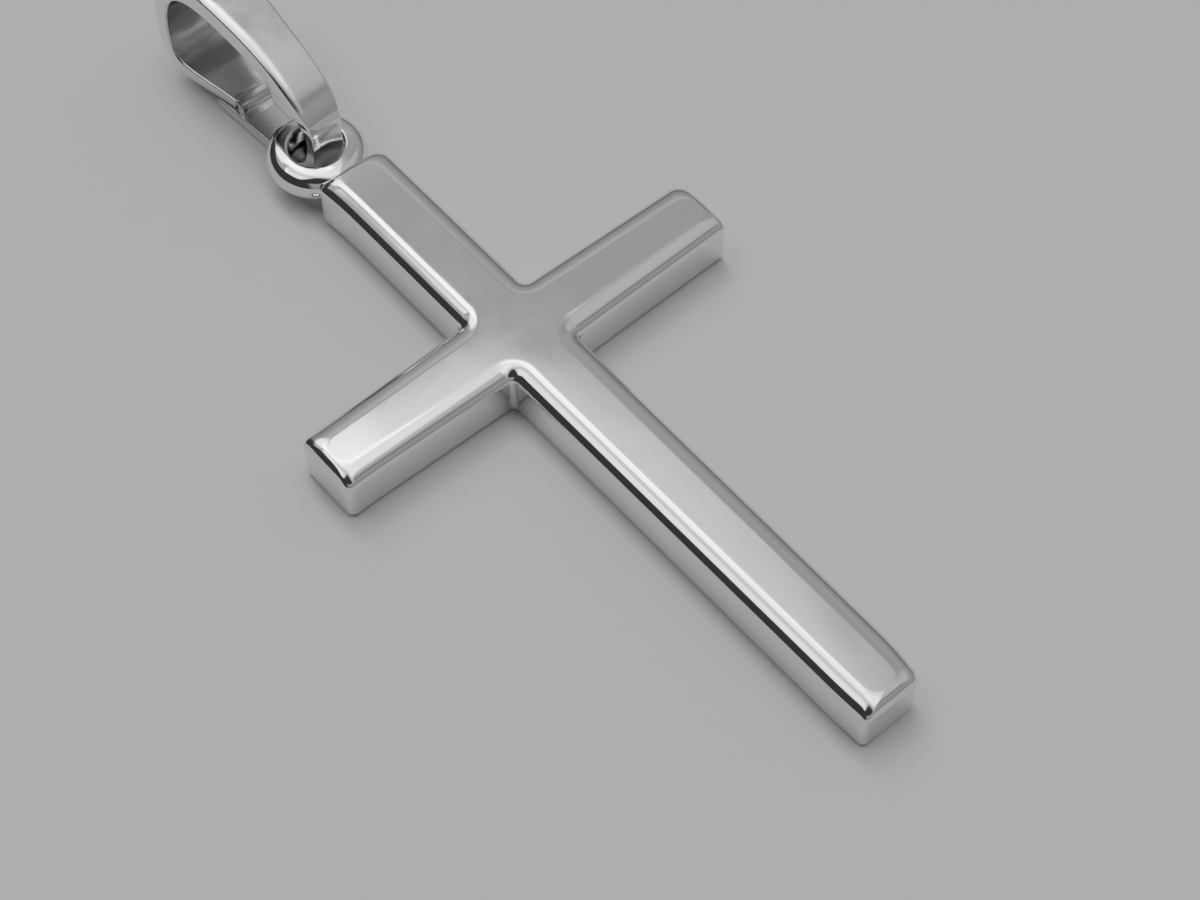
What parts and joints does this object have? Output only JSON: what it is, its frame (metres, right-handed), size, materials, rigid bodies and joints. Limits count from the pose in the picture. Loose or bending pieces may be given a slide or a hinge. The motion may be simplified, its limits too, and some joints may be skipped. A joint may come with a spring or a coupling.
{
  "type": "cross pendant",
  "caption": "Plain polished cross pendant lying on its back, with a soldered ring at the top and a tapering strip bail folded through it.",
  "frame": {"origin": "middle of the crossing on the flat back of the cross", "axes": "+X along the right arm seen from the front, +Y up the upright toward the ring and the bail, +Z out of the front"},
  "size_m": [0.0182, 0.0405, 0.0056],
  "materials": {
    "silver": "polished"
  },
  "bodies": {
    "root": {"cross": "silver", "bail": "silver"}
  },
  "joints": []
}
